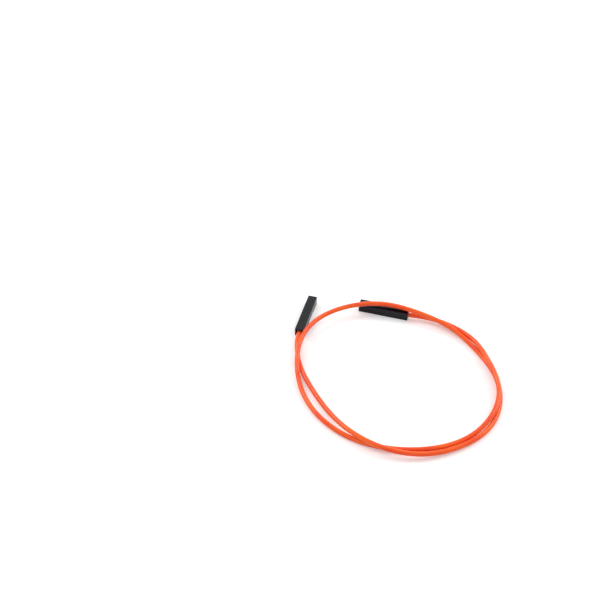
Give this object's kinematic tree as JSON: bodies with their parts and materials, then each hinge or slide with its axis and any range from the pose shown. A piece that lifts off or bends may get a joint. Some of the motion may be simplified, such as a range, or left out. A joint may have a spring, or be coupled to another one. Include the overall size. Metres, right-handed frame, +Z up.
{
  "type": "breadboard jumper wire",
  "caption": "Coiled insulated jumper wire with a black single-pin socket housing and a crimped terminal on each end.",
  "frame": {"origin": "on the surface the wire lies on, under the middle of the box round the two housings", "axes": "+Z up from the surface, +X to the right and +Y away from the viewer in the picture; connector A's housing is on the left and points back, connector B's is on the right and points left"},
  "size_m": [0.0544, 0.0566, 0.0042],
  "materials": {
    "insulation_pvc": "satin soft PVC",
    "housing_plastic": "black moulded, slight sheen",
    "terminal_metal": "tin plated spring bronze",
    "strand_copper": "bare drawn copper"
  },
  "bodies": {
    "root": {"wire_insulation": "insulation_pvc", "housing_a": "housing_plastic", "housing_b": "housing_plastic", "terminal_a": "terminal_metal", "terminal_b": "terminal_metal", "strand_a_1": "strand_copper", "strand_a_2": "strand_copper", "strand_a_3": "strand_copper", "strand_a_4": "strand_copper", "strand_a_5": "strand_copper", "strand_a_6": "strand_copper", "strand_a_7": "strand_copper", "strand_b_1": "strand_copper", "strand_b_2": "strand_copper", "strand_b_3": "strand_copper", "strand_b_4": "strand_copper", "strand_b_5": "strand_copper", "strand_b_6": "strand_copper", "strand_b_7": "strand_copper"}
  },
  "joints": []
}
